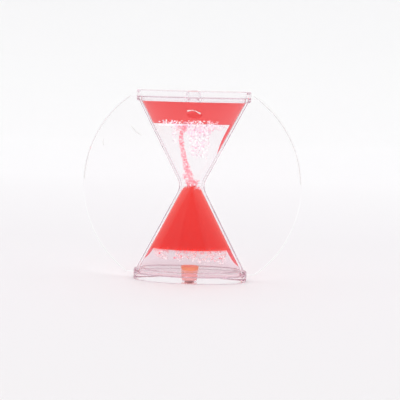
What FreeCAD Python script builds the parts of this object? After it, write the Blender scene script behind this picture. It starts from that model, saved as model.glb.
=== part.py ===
"""Liquid motion timer: a sealed clear hourglass in a flat round web, with red liquid rising in it.

The row frame has its origin at the middle of the base, +Z up, +X to the right and -Y to the front.
All sizes are in millimetres.
"""

import FreeCAD, Part
import math
import os

import Sketcher
from FreeCAD import Placement, Rotation, Vector

# Driving sizes: alias, value, what it is.
SIZES = (
    ("total_height", 78.0, "over both caps"),
    ("cap_width", 46.8, "oval caps and flanges, side to side"),
    ("cap_depth", 22.0, "oval caps and flanges, front to back"),
    ("cap_plate", 2.7, "thickness of a cap's plate"),
    ("cap_round", 0.5, "rounding of a cap's outer edge"),
    ("flange_plate", 1.8, "thickness of a flange, and height of a cap's spigot"),
    ("flange_round", 0.8, "rounding of a flange's shoulder"),
    ("funnel_width", 44.6, "outside of the funnel's mouth, side to side"),
    ("funnel_depth", 20.0, "outside of the funnel's mouth, front to back"),
    ("waist_width", 9.0, "outside of the waist, before its rounding"),
    ("waist_round", 6.3, "rounding of the waist, outside"),
    ("wall", 1.6, "wall of the funnels, measured level"),
    ("web_diameter", 90.0, "round web in the middle plane"),
    ("web_plate", 1.5, "thickness of the web"),
    ("web_round", 0.3, "rounding of the web's rim"),
    ("gate_width", 1.8, "stub of the moulding gate on the web's rim, along the rim"),
    ("gate_reach", 0.7, "how far the gate stub stands out of the rim"),
    ("gate_bury", 0.6, "how far the gate stub reaches into the rim"),
    ("spigot_gap", 0.1, "room round a cap's spigot in the mouth"),
    ("plug_inner_width", 7.2, "bottom filler plug at its wide inner end"),
    ("plug_outer_width", 5.8, "both filler plugs at their narrow outer ends"),
    ("plug_rise", 1.2, "how far the bottom plug stands into the chamber"),
    ("plug_recess", 0.4, "how far a plug lies below the cap's face"),
    ("plug_squeeze", 0.05, "how much a plug is squeezed by its hole, on the radius"),
    ("insert_height", 2.6, "height of the drip insert"),
    ("insert_bore", 2.2, "narrow end of the drip insert's hole"),
    ("insert_mouth", 4.6, "wide end of the drip insert's hole"),
    ("insert_land", 0.8, "straight stretch of the drip insert's hole"),
    ("insert_gap", 0.05, "room round the drip insert"),
    ("liquid_gap", 0.1, "room between a liquid and a curved wall"),
    ("red_upper_depth", 9.6, "depth of the upper red layer"),
    ("clear_lower_depth", 9.0, "depth of the lower clear layer"),
    ("upper_film_width", 2.1, "red film on the upper right wall, at its root"),
    ("upper_film_drop", 11.4, "how far that film runs down"),
    ("lower_film_width", 1.8, "red films on the lower side walls, at their roots"),
    ("left_film_drop", 5.4, "how far the lower left film runs down"),
    ("right_film_drop", 7.6, "how far the lower right film runs down"),
    ("stream_foot", 0.9, "the stream's foot, to the left of the middle"),
    ("stream_head", 4.6, "the stream's head, to the left of the middle"),
    ("stream_ring", 0.8, "how far the rising drops lie from the stream's own middle"),
    ("drop_radius", 0.6, "largest rising drop"),
    ("stream_gap", 0.3, "room between the rising drops and the channel that they rise in"),
    ("froth_gap", 0.15, "room round the froth in the clear liquid"),
    ("upper_froth_drop", 8.0, "how far the froth under the upper red layer hangs down"),
    ("lower_froth_drop", 3.6, "how far the froth under the lower red layer hangs down"),
    ("seam_round", 0.25, "rounding of both edges of the seam between a cap and its flange"),
    ("overrun", 1.0, "how far cutting tools run past what they cut"),
)

SAME_HEIGHT = 1e-4  # two heights nearer than this are one
GATE_ANGLE = 23.6  # degrees above the level, on the right side of the rim
DROP_ROWS = 9
DROPS_PER_ROW = 3
ROW_TURN = 47.0  # degrees that each row of drops is turned from the row below
DROP_RADIUS_SHARES = (1.0, 0.8, 0.65)
DROP_LIFT_SHARES = (0.0, 0.22, -0.2)

# Froth patches, as shares of the chamber's free half width at their level: place of the middle, radius.
LOWER_FROTH_SHARES = ((-0.78, 0.18), (-0.02, 0.28), (0.63, 0.30))
UPPER_FROTH_REACH_SHARE = 0.62
FROTH_TAPER_SHARE = 0.4  # a patch's radius at its low end, as a share of that at its top

# Expressions that several sub-parts share.
MIDDLE = "sizes.total_height / 2"
FLOOR = "(sizes.cap_plate + sizes.flange_plate)"
CEILING = f"(sizes.total_height - {FLOOR})"
FUNNEL_RISE = f"({MIDDLE} - {FLOOR})"
UPPER_LEVEL = f"({CEILING} - sizes.red_upper_depth)"
LOWER_LEVEL = f"({FLOOR} + sizes.clear_lower_depth)"
INSERT_TOP = f"({MIDDLE} + sizes.insert_height)"
FLANK_SLOPE = f"((sizes.funnel_width - sizes.waist_width) / 2 / {FUNNEL_RISE})"
DEPTH_SLOPE = f"((sizes.funnel_depth - sizes.waist_width) / 2 / {FUNNEL_RISE})"
PLUG_LENGTH = f"({FLOOR} + sizes.plug_rise - sizes.plug_recess)"
PLUG_TAPER = f"((sizes.plug_inner_width - sizes.plug_outer_width) / 2 / {PLUG_LENGTH})"
BLIND_PLUG_LENGTH = f"({FLOOR} - sizes.plug_recess)"
STREAM_RISE = f"({UPPER_LEVEL} - {INSERT_TOP})"
STREAM_LEAN = f"atan((sizes.stream_head - sizes.stream_foot) / {STREAM_RISE})"
STREAM_LENGTH = f"({STREAM_RISE} / cos({STREAM_LEAN}))"
DROP_STEP = f"({STREAM_LENGTH} / {DROP_ROWS + 1})"
CHANNEL_RADIUS = "(sizes.stream_ring + sizes.drop_radius + sizes.stream_gap)"
LIQUID_WAIST = "(sizes.waist_width / 2 - sizes.wall - sizes.liquid_gap)"

doc = FreeCAD.newDocument("liquid_motion_timer")


def make_sheet():
    """The spreadsheet of driving sizes."""
    sheet = doc.addObject("Spreadsheet::Sheet", "sizes")
    for row, (alias, value, note) in enumerate(SIZES, 1):
        sheet.set(f"A{row}", alias)
        sheet.set(f"B{row}", str(value))
        sheet.set(f"C{row}", note)
        sheet.setAlias(f"B{row}", alias)
    doc.recompute()
    return sheet


def bind(item, **expressions):
    """Ties properties of an object to the sheet; a double underscore in a name stands for a dot."""
    for name, expression in expressions.items():
        item.setExpression(name.replace("__", "."), expression)
    return item


def origin_plane(body, role):
    """One of a body's own origin planes."""
    return next(plane for plane in body.Origin.OriginFeatures if plane.Role == role)


def level_sketch(body, name, height=None):
    """A sketch on the body's level plane, raised to a height that follows the sheet."""
    sketch = body.newObject("Sketcher::SketchObject", name)
    sketch.AttachmentSupport = [(origin_plane(body, "XY_Plane"), "")]
    sketch.MapMode = "FlatFace"
    if height is not None:
        bind(sketch, AttachmentOffset__Base__z=height)
    return sketch


def add_oval(sketch, width, depth):
    """An ellipse about the sketch's origin, with its long axis along X."""
    start = Part.Ellipse(Vector(2, 0, 0), Vector(0, 1, 0), Vector(0, 0, 0))
    oval = sketch.addGeometry(start, False)
    sketch.exposeInternalGeometry(oval)
    long_axis = oval + 1
    short_axis = oval + 2
    sketch.addConstraint(Sketcher.Constraint("Coincident", oval, 3, -1, 1))
    sketch.addConstraint(Sketcher.Constraint("Horizontal", long_axis))
    for axis, size, guess in ((long_axis, width, 4), (short_axis, depth, 2)):
        index = sketch.addConstraint(Sketcher.Constraint("Distance", axis, guess))
        sketch.setExpression(f"Constraints[{index}]", size)


def add_circle(sketch, diameter):
    """A circle about the sketch's origin."""
    circle = sketch.addGeometry(Part.Circle(), False)
    sketch.addConstraint(Sketcher.Constraint("Coincident", circle, 3, -1, 1))
    index = sketch.addConstraint(Sketcher.Constraint("Diameter", circle, 1))
    sketch.setExpression(f"Constraints[{index}]", diameter)


def edges_at(shape, height):
    """Names of the edges that lie level at a height."""
    names = []
    for number, edge in enumerate(shape.Edges, 1):
        box = edge.BoundBox
        if max(abs(box.ZMin - height), abs(box.ZMax - height)) < SAME_HEIGHT:
            names.append(f"Edge{number}")
    return names


def pad(body, name, sketch, length, downward=False):
    """A pad of a sketch."""
    feature = body.newObject("PartDesign::Pad", name)
    feature.Profile = sketch
    feature.Reversed = downward
    bind(feature, Length=length)
    doc.recompute()
    return feature


def fillet(body, name, base, edges, radius):
    """A fillet that becomes the body's tip."""
    feature = body.newObject("PartDesign::Fillet", name)
    feature.Base = (base, edges)
    bind(feature, Radius=radius)
    body.Tip = feature
    doc.recompute()
    return feature


def value(alias):
    """A driving size as a number."""
    return float(doc.sizes.get(alias))


def double_funnel(name, inset):
    """The hourglass form, drawn in by an inset: oval mouths run straight to a waist, which is rounded."""
    body = doc.addObject("PartDesign::Body", name)
    mouth = level_sketch(body, f"{name}_mouth", f"-{FUNNEL_RISE}")
    add_oval(mouth, f"sizes.funnel_width - 2 * ({inset})", f"sizes.funnel_depth - 2 * ({inset})")
    waist = level_sketch(body, f"{name}_waist")
    add_circle(waist, f"sizes.waist_width - 2 * ({inset})")
    doc.recompute()
    flank = body.newObject("PartDesign::AdditiveLoft", f"{name}_flank")
    flank.Profile = mouth
    flank.Sections = [waist]
    flank.Ruled = True
    doc.recompute()
    collar = pad(body, f"{name}_collar", mouth, "sizes.flange_plate", downward=True)
    mirror = body.newObject("PartDesign::Mirrored", f"{name}_mirror")
    mirror.Originals = [flank, collar]
    mirror.MirrorPlane = (origin_plane(body, "XY_Plane"), [""])
    body.Tip = mirror
    doc.recompute()
    fillet(body, f"{name}_round", mirror, edges_at(mirror.Shape, 0), f"sizes.waist_round + {inset}")
    bind(body, Placement__Base__z=MIDDLE)
    return body


def make_flange(name):
    """A flange of the caps' outline, with a rounded shoulder and a small round at the seam."""
    body = doc.addObject("PartDesign::Body", name)
    outline = level_sketch(body, f"{name}_outline", "sizes.cap_plate")
    add_oval(outline, "sizes.cap_width", "sizes.cap_depth")
    plate = pad(body, f"{name}_plate", outline, "sizes.flange_plate")
    shoulder = edges_at(plate.Shape, value("cap_plate") + value("flange_plate"))
    shouldered = fillet(body, f"{name}_shoulder", plate, shoulder, "sizes.flange_round")
    seam = edges_at(shouldered.Shape, value("cap_plate"))
    fillet(body, f"{name}_seam", shouldered, seam, "sizes.seam_round")
    return body


def chamber_stretch(name, low, high):
    """The room for liquid between two heights on one side of the waist, clear of the wall."""
    body = doc.addObject("PartDesign::Body", name)
    ovals = []
    for end, height in (("low", low), ("high", high)):
        oval = level_sketch(body, f"{name}_{end}", height)
        away = f"abs({height} - {MIDDLE})"
        width = f"2 * ({LIQUID_WAIST} + {FLANK_SLOPE} * {away})"
        depth = f"2 * ({LIQUID_WAIST} + {DEPTH_SLOPE} * {away})"
        add_oval(oval, width, depth)
        ovals.append(oval)
    doc.recompute()
    loft = body.newObject("PartDesign::AdditiveLoft", f"{name}_loft")
    loft.Profile = ovals[0]
    loft.Sections = [ovals[1]]
    loft.Ruled = True
    doc.recompute()
    return body


def slab(name, low, high):
    """A box over the whole outline between two heights."""
    box = doc.addObject("Part::Box", name)
    reach = "(sizes.cap_width / 2 + sizes.overrun)"
    bind(
        box,
        Length=f"2 * {reach}",
        Width=f"2 * {reach}",
        Height=f"{high} - {low}",
        Placement__Base__x=f"-{reach}",
        Placement__Base__y=f"-{reach}",
        Placement__Base__z=low,
    )
    return box


def join(name, pieces):
    """A fusion of several objects."""
    result = doc.addObject("Part::MultiFuse", name)
    result.Shapes = pieces
    return result


def cut(name, base, tool):
    """One object less another."""
    result = doc.addObject("Part::Cut", name)
    result.Base = base
    result.Tool = tool
    return result


def common(name, base, tool):
    """What two objects share."""
    result = doc.addObject("Part::Common", name)
    result.Base = base
    result.Tool = tool
    return result


def make_web():
    """The flat round web in the middle plane, cut level with the flanges at top and bottom."""
    body = doc.addObject("PartDesign::Body", "web_disc")
    outline = body.newObject("Sketcher::SketchObject", "web_outline")
    outline.AttachmentSupport = [(origin_plane(body, "XZ_Plane"), "")]
    outline.MapMode = "FlatFace"
    add_circle(outline, "sizes.web_diameter")
    plate = body.newObject("PartDesign::Pad", "web_pad")
    plate.Profile = outline
    plate.Midplane = True
    bind(plate, Length="sizes.web_plate")
    doc.recompute()
    rims = []
    for number, edge in enumerate(plate.Shape.Edges, 1):
        if isinstance(edge.Curve, Part.Circle):
            rims.append(f"Edge{number}")
    fillet(body, "web_rim_round", plate, rims, "sizes.web_round")
    bind(body, Placement__Base__z=MIDDLE)
    band = slab("web_band", "sizes.cap_plate", "(sizes.total_height - sizes.cap_plate)")
    bind(band, Length="2 * sizes.web_diameter", Placement__Base__x="-sizes.web_diameter")
    return common("web", body, band)


def make_gate_stub():
    """The stub that the moulding gate leaves on the right side of the web's rim."""
    stub = doc.addObject("Part::Box", "gate_stub")
    stub.Placement = Placement(Vector(0, 0, 0), Rotation(Vector(0, -1, 0), GATE_ANGLE))
    root = "(sizes.web_diameter / 2 - sizes.gate_bury)"
    half = "sizes.gate_width / 2"
    bind(
        stub,
        Length="sizes.gate_bury + sizes.gate_reach",
        Width="sizes.web_plate - 2 * sizes.web_round",
        Height="sizes.gate_width",
        Placement__Base__x=f"{root} * cos({GATE_ANGLE}) + {half} * sin({GATE_ANGLE})",
        Placement__Base__y="sizes.web_round - sizes.web_plate / 2",
        Placement__Base__z=f"{MIDDLE} + {root} * sin({GATE_ANGLE}) - {half} * cos({GATE_ANGLE})",
    )
    return stub


def make_hourglass_body():
    """The clear moulding: two oval funnels meeting at the waist, a flange at each end and the round web."""
    pieces = [
        double_funnel("outer_funnel", "0 * sizes.wall"),
        make_flange("lower_flange"),
        turn_over(make_flange("upper_flange"), "sizes.total_height"),
        make_web(),
        make_gate_stub(),
    ]
    return cut("hourglass_body", join("body_solid", pieces), double_funnel("cavity", "sizes.wall"))


def make_cap(name):
    """A cap: an oval plate, the spigot that locates it in the mouth, and the tapered filler hole."""
    body = doc.addObject("PartDesign::Body", f"{name}_blank")
    outline = level_sketch(body, f"{name}_outline")
    add_oval(outline, "sizes.cap_width", "sizes.cap_depth")
    plate = pad(body, f"{name}_plate", outline, "sizes.cap_plate")
    rounded = fillet(body, f"{name}_round", plate, edges_at(plate.Shape, 0), "sizes.cap_round")
    seam = edges_at(rounded.Shape, value("cap_plate"))
    fillet(body, f"{name}_seam", rounded, seam, "sizes.seam_round")
    inset = "(sizes.wall + sizes.spigot_gap)"
    spigot_outline = level_sketch(body, f"{name}_spigot_outline", "sizes.cap_plate")
    add_oval(spigot_outline, f"sizes.funnel_width - 2 * {inset}", f"sizes.funnel_depth - 2 * {inset}")
    pad(body, f"{name}_spigot", spigot_outline, "sizes.flange_plate")
    hole = doc.addObject("Part::Cone", f"{name}_hole")
    start = f"sizes.plug_outer_width / 2 - sizes.plug_squeeze - {PLUG_TAPER} * sizes.plug_recess"
    bind(
        hole,
        Radius1=f"{start} - {PLUG_TAPER} * sizes.overrun",
        Radius2=f"{start} + {PLUG_TAPER} * ({FLOOR} + sizes.overrun)",
        Height=f"{FLOOR} + 2 * sizes.overrun",
        Placement__Base__z="-sizes.overrun",
    )
    return cut(name, body, hole)


def make_plug(name, length):
    """A filler plug: a taper that widens inwards, from its recess in the cap's face."""
    plug = doc.addObject("Part::Cone", name)
    bind(
        plug,
        Radius1="sizes.plug_outer_width / 2",
        Radius2=f"sizes.plug_outer_width / 2 + {PLUG_TAPER} * {length}",
        Height=length,
        Placement__Base__z="sizes.plug_recess",
    )
    return plug


def turn_over(piece, height):
    """Turns a piece that was built for the base over to the top."""
    piece.Placement = Placement(Vector(0, 0, 0), Rotation(Vector(1, 0, 0), 180))
    bind(piece, Placement__Base__z=height)
    return piece


def make_drip_insert():
    """The insert that wedges in the waist, with a funnel-shaped drip hole."""
    form = double_funnel("insert_form", "(sizes.wall + sizes.insert_gap)")
    blank = common("insert_blank", form, slab("insert_slab", MIDDLE, INSERT_TOP))
    bore = doc.addObject("Part::Cylinder", "insert_bore_tool")
    bind(
        bore,
        Radius="sizes.insert_bore / 2",
        Height="sizes.insert_height + 2 * sizes.overrun",
        Placement__Base__z=f"{MIDDLE} - sizes.overrun",
    )
    mouth = doc.addObject("Part::Cone", "insert_mouth_tool")
    bind(
        mouth,
        Radius1="sizes.insert_bore / 2",
        Radius2="sizes.insert_mouth / 2",
        Height="sizes.insert_height - sizes.insert_land",
        Placement__Base__z=f"{MIDDLE} + sizes.insert_land",
    )
    return cut("drip_insert", blank, join("insert_hole", [bore, mouth]))


def make_wall_film(name, level, drop, width, side):
    """The prism that holds a film of liquid on a side wall, from a level down to a point on the wall.

    side is 1 for the right wall and -1 for the left one. The prism runs past that point, outside the wall.
    """
    film = doc.addObject("Part::Wedge", name)
    film.Placement = Placement(Vector(0, 0, 0), Rotation(Vector(1, 0, 0), -90))
    wall_at_root = f"({LIQUID_WAIST} + {FLANK_SLOPE} * abs({level} - {MIDDLE}))"
    wall_at_tip = f"({LIQUID_WAIST} + {FLANK_SLOPE} * abs({level} - {drop} - {MIDDLE}))"
    near_root = f"({wall_at_root} - {width})"
    near_end = f"({wall_at_tip} + ({wall_at_tip} - {near_root}) / {drop} * sizes.overrun)"
    far = f"({wall_at_root} + {FLANK_SLOPE} * {drop} + 2 * sizes.overrun)"
    if side > 0:
        bind(film, Xmin=near_root, Xmax=far, X2min=near_end, X2max=far)
    else:
        bind(film, Xmin=f"-{far}", Xmax=f"-{near_root}", X2min=f"-{far}", X2max=f"-{near_end}")
    reach = "sizes.funnel_depth / 2"
    bind(film, Zmin=f"-{reach}", Zmax=reach, Z2min=f"-{reach}", Z2max=reach)
    bind(film, Ymin="0", Ymax=f"{drop} + sizes.overrun", Placement__Base__z=level)
    return film


def make_froth_patch(name, middle, radius, level, drop, room):
    """A patch of froth that hangs under a red face: round, and drawn in towards its low end."""
    patch = doc.addObject("Part::Cone", name)
    bind(
        patch,
        Radius1=f"{FROTH_TAPER_SHARE} * {radius} + {room}",
        Radius2=f"{radius} + {room}",
        Height=f"{drop} + {room}",
        Placement__Base__x=middle,
        Placement__Base__z=f"{level} - {drop} - {room}",
    )
    return patch


def make_upper_froth(name, room="0 * sizes.froth_gap"):
    """The froth under the upper red layer, between the rising stream and the right wall."""
    left = f"({CHANNEL_RADIUS} - sizes.stream_head + 2 * sizes.froth_gap)"
    right = f"({UPPER_FROTH_REACH_SHARE} * ({LIQUID_WAIST} + {FLANK_SLOPE} * ({UPPER_LEVEL} - {MIDDLE})))"
    middle = f"({left} + {right}) / 2"
    radius = f"({right} - {left}) / 2"
    return make_froth_patch(name, middle, radius, UPPER_LEVEL, "sizes.upper_froth_drop", room)


def make_lower_froth(name, room="0 * sizes.froth_gap"):
    """The patches of froth under the lower red body, between the films on the side walls."""
    free = f"({LIQUID_WAIST} + {FLANK_SLOPE} * ({MIDDLE} - {LOWER_LEVEL}) - sizes.lower_film_width)"
    patches = []
    for number, (place, radius) in enumerate(LOWER_FROTH_SHARES, 1):
        patch = make_froth_patch(
            f"{name}_{number}",
            f"{place} * {free}",
            f"{radius} * {free}",
            LOWER_LEVEL,
            "sizes.lower_froth_drop",
            room,
        )
        patches.append(patch)
    group = doc.addObject("Part::Compound", name)
    group.Links = patches
    return group


def place_in_stream(piece, along="0"):
    """Leans a piece into the stream's line, which starts on top of the drip insert."""
    piece.Placement = Placement(Vector(0, 0, 0), Rotation(Vector(0, -1, 0), 1))
    bind(
        piece,
        Placement__Rotation__Angle=STREAM_LEAN,
        Placement__Base__x=f"-sizes.stream_foot - ({along}) * sin({STREAM_LEAN})",
        Placement__Base__z=f"{INSERT_TOP} + ({along}) * cos({STREAM_LEAN})",
    )
    return piece


def make_rising_drops():
    """The rising stream: rows of round drops at an even step, each row turned from the last."""
    drops = []
    for row in range(DROP_ROWS):
        for place in range(DROPS_PER_ROW):
            turn = math.radians(row * ROW_TURN + place * 360 / DROPS_PER_ROW)
            drop = doc.addObject("Part::Sphere", f"drop_{row + 1}_{place + 1}")
            bind(
                drop,
                Radius=f"sizes.drop_radius * {DROP_RADIUS_SHARES[place]}",
                Placement__Base__x=f"sizes.stream_ring * {math.cos(turn):.4f}",
                Placement__Base__y=f"sizes.stream_ring * {math.sin(turn):.4f}",
                Placement__Base__z=f"{DROP_STEP} * {row + 0.5 + DROP_LIFT_SHARES[place]:.2f}",
            )
            drops.append(drop)
    group = doc.addObject("Part::Compound", "rising_drops")
    group.Links = drops
    return place_in_stream(group)


def make_liquids():
    """The two liquids: each chamber holds a red body and a clear one, which meet at a level face."""
    upper_film = make_wall_film(
        "upper_film", UPPER_LEVEL, "sizes.upper_film_drop", "sizes.upper_film_width", 1
    )
    lower_films = [
        make_wall_film("left_film", LOWER_LEVEL, "sizes.left_film_drop", "sizes.lower_film_width", -1),
        make_wall_film("right_film", LOWER_LEVEL, "sizes.right_film_drop", "sizes.lower_film_width", 1),
    ]
    upper_layer = chamber_stretch("upper_layer", UPPER_LEVEL, CEILING)
    upper_below = chamber_stretch("upper_below", INSERT_TOP, UPPER_LEVEL)
    red_upper = join("red_liquid_upper", [upper_layer, common("upper_streak", upper_below, upper_film)])

    lower_cone = chamber_stretch("lower_cone", LOWER_LEVEL, MIDDLE)
    lower_below = cut(
        "lower_below", chamber_stretch("lower_below_form", FLOOR, LOWER_LEVEL), make_plug_room("plug_room")
    )
    streaks = [common(f"{film.Name}_streak", lower_below, film) for film in lower_films]
    red_lower = join("red_liquid_lower", [lower_cone] + streaks)

    channel = doc.addObject("Part::Cylinder", "stream_channel")
    bind(channel, Radius=CHANNEL_RADIUS, Height=f"{STREAM_LENGTH} + 2 * sizes.overrun")
    place_in_stream(channel, "-sizes.overrun")
    upper_pocket = make_upper_froth("upper_pocket", "sizes.froth_gap")
    lower_pocket = make_lower_froth("lower_pocket", "sizes.froth_gap")
    upper_tools = join("clear_upper_tools", [upper_film, channel, upper_pocket])
    lower_tools = join("clear_lower_tools", lower_films + [lower_pocket])
    clear_upper = cut("clear_liquid_upper", upper_below, upper_tools)
    clear_lower = cut("clear_liquid_lower", lower_below, lower_tools)
    return [red_upper, red_lower, clear_upper, clear_lower]


def make_plug_room(name):
    """The space that a plug's inner end takes up in a chamber."""
    room = doc.addObject("Part::Cylinder", name)
    bind(
        room,
        Radius="sizes.plug_inner_width / 2 + sizes.liquid_gap",
        Height=f"{FLOOR} + sizes.plug_rise + sizes.liquid_gap",
    )
    return room


def check_and_write(nodes):
    """Stops on any failed object or bad shape, then writes one file for each sub-part."""
    for item in doc.Objects:
        if "Invalid" in item.State or "Error" in item.State:
            raise RuntimeError(f"{item.Name} failed: {item.State}")
    for node in nodes:
        if node.Shape.isNull() or not node.Shape.isValid() or not node.Shape.Solids:
            raise RuntimeError(f"{node.Label} has no valid solid")
    os.makedirs("parts", exist_ok=True)
    for node in nodes:
        node.Shape.exportStep(f"parts/{node.Label}.step")
        print(f"{node.Label}: {len(node.Shape.Solids)} solids, {node.Shape.Volume:.1f} mm3")


make_sheet()
sub_parts = [
    make_hourglass_body(),
    make_cap("bottom_cap"),
    turn_over(make_cap("top_cap"), "sizes.total_height"),
    make_plug("bottom_plug", PLUG_LENGTH),
    turn_over(make_plug("top_plug", BLIND_PLUG_LENGTH), "sizes.total_height - sizes.plug_recess"),
    make_drip_insert(),
    make_rising_drops(),
]
sub_parts += make_liquids()
sub_parts += [make_upper_froth("upper_froth"), make_lower_froth("lower_froth")]
doc.recompute()
check_and_write(sub_parts)
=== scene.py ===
"""Looks of the liquid motion timer: clear plastic, two liquids, drops and froth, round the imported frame."""

import math
import random

import bmesh
import bpy
from mathutils import Matrix, Vector


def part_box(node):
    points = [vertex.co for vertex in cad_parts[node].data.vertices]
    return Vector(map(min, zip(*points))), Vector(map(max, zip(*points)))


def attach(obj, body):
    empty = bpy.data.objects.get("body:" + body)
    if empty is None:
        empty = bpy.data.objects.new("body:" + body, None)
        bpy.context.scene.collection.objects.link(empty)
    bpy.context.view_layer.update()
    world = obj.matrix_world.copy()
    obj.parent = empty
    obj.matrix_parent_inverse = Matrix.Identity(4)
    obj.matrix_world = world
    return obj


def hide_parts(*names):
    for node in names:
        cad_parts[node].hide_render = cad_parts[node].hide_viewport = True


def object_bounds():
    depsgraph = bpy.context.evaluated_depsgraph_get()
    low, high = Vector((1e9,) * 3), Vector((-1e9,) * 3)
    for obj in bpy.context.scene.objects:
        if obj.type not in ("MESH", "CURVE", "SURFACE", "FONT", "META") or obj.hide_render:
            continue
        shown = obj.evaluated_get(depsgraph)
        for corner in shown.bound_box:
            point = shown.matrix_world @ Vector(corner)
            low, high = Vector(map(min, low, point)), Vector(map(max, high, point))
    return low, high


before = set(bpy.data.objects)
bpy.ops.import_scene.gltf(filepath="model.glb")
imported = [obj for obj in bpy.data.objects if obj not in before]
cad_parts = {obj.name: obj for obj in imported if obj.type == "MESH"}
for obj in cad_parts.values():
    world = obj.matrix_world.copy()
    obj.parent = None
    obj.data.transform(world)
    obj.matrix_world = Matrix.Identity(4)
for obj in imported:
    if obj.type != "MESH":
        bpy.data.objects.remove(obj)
cad_low, cad_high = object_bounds()

MM = 0.001

# Places and sizes that come from the frame.
HEIGHT = cad_high.z
MIDDLE = HEIGHT / 2
CAP_HALF_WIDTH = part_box("bottom_cap")[1].x
CAP_HALF_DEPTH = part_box("bottom_cap")[1].y
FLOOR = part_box("bottom_cap")[1].z
CEILING = HEIGHT - FLOOR
UPPER_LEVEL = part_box("upper_froth")[1].z
LOWER_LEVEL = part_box("lower_froth")[1].z
INSERT_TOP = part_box("drip_insert")[1].z
PLUG_LOW, PLUG_HIGH = (corner.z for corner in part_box("bottom_plug"))
TOP_PLUG_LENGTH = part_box("top_plug")[1].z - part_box("top_plug")[0].z
PLUG_INNER_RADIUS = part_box("bottom_plug")[1].x

# Sizes of the clear moulding, its caps, plugs and insert.
CAP_PLATE = 2.7 * MM
CAP_ROUND = 0.5 * MM
FLANGE_ROUND = 0.8 * MM
SPIGOT_ROUND = 0.1 * MM
SPIGOT_GAP = 0.1 * MM
SEAM_ROUND = 0.25 * MM
SEAM_GAP = 0.02 * MM
FUNNEL_HALF_WIDTH = 22.3 * MM
FUNNEL_HALF_DEPTH = 10.0 * MM
WAIST_RADIUS = 4.5 * MM
WAIST_ROUND = 6.3 * MM
WALL = 1.6 * MM
WEB_HALF_PLATE = 0.75 * MM
WEB_ROUND = 0.6 * MM
GATE_ANGLE = math.radians(23.6)
GATE_HALF_WIDTH = 0.9 * MM
GATE_REACH = 0.7 * MM
GATE_BURY = 0.6 * MM
GATE_ROUND = 0.12 * MM
GATE_ROUND_STEPS = 3
PLUG_OUTER_RADIUS = 2.9 * MM
PLUG_EDGE = 0.15 * MM
PLUG_INNER_EDGE = 0.12 * MM
INSERT_BORE_RADIUS = 2.0 * MM
INSERT_MOUTH_RADIUS = 3.2 * MM
INSERT_LAND = 0.4 * MM  # straight stretch of the drip insert's hole
INSERT_GAP = 0.05 * MM
BOND_OUTER = 0.14 * MM  # insets of the bond's two edges from the cap's outline
BOND_INNER = 1.9 * MM
BOND_HALF_THICKNESS = 0.18 * MM
OVERRUN = 1.0 * MM  # how far cutting tools run past what they cut

# Fine raised marks on the web's front, as points across and up in mm, and fine grey lines along its upper rim
# that paint the rim's shade.
MARK_LONG = ((-25.6, 63.4), (-24.6, 62.0), (-23.4, 60.7), (-22.2, 59.8), (-20.9, 59.3))
MARK_SHORT = ((-36.6, 57.6), (-36.9, 56.6), (-36.9, 55.6), (-36.6, 54.6))
MARK_RADIUS = 0.11 * MM
MARK_END_SHARE = 0.35  # of that radius, at both ends of a mark
MARK_FLATNESS = 0.6
RIM_SHADE_REACH = 44.5  # from the middle, in mm like the points above
RIM_SHADE_RIGHT = (2, 57)  # in degrees above the level on the right
RIM_SHADE_LEFT = (178, 125)

# The liquids.
LIQUID_BITE = 0.05 * MM  # how far a liquid's skin lies inside the plastic, so that no air shows between
FACE_BITE = 0.02 * MM  # how far two pieces overlap where their faces meet
RED_FILM = 0.03 * MM  # clear liquid between the red liquid and the wall
NECK = MIDDLE + 1.4 * MM  # where the clear liquids of both chambers meet, inside the drip insert
RED_DOME_LOW = MIDDLE - 7.5 * MM  # where the red cone's sides start to leave the wall
RED_TIP = MIDDLE + 0.3 * MM
RED_DOME_POWER = 6
UPPER_FACE = UPPER_LEVEL + 0.8 * MM  # the lower face of the risen red layer, above the drops under it
LOWER_FACE = LOWER_LEVEL - 0.4 * MM  # the lower face of the red cone
HAZE_NEAR_DEPTH = 0.5 * MM
HAZE_FAR_DEPTH = 1.3 * MM
HAZE_TAPER = 0.1  # how far a haze layer draws in from the wall, as a share of its depth
STREAK_POWER = 3  # how late a streak thins out on its way down
STREAKS = (  # name, level, how far it runs down, thickness at its root, side
    ("streak_upper_right", UPPER_FACE, 12.2 * MM, 1.35 * MM, 1),
    ("streak_lower_left", LOWER_FACE, 5.0 * MM, 1.4 * MM, -1),
    ("streak_lower_right", LOWER_FACE, 7.2 * MM, 1.4 * MM, 1),
)

# Painted highlight at the front of the upper red layer: a wavy line of white drops stands in for a glint,
# over a darker red oval.
GLINT_HEIGHT = 70.0 * MM
GLINT_LEFT = -1.6 * MM
GLINT_RIGHT = 3.2 * MM
GLINT_STEPS = 44
GLINT_BOW = 0.45 * MM
GLINT_FALL = 0.9 * MM
GLINT_RIPPLE = 0.07 * MM
GLINT_RIPPLE_RADIANS = 21  # over the whole line
GLINT_BURY = 0.05 * MM
GLINT_THIN = 0.1 * MM
GLINT_ENDS = 0.2 * MM  # added to its radius at both ends
GLINT_END_POWER = 1.5
GLINT_UNEVEN = 0.07 * MM
RED_DROP_HALF_SIZES = (3.1 * MM, 0.7 * MM, 1.25 * MM)  # across, deep and high
RED_DROP_SWAY = (0.06, 5, 1)  # share of its size, radians per half size across, and where the wave starts
RED_DROP_SWELL = (0.05, 7)  # the same upwards
RED_DROP_SEGMENTS = 32
RED_DROP_RINGS = 20
RED_DROP_BELOW = 1.7 * MM
RED_DROP_RIGHT = 0.3 * MM
RED_DROP_INSIDE = 0.85 * MM

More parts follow.
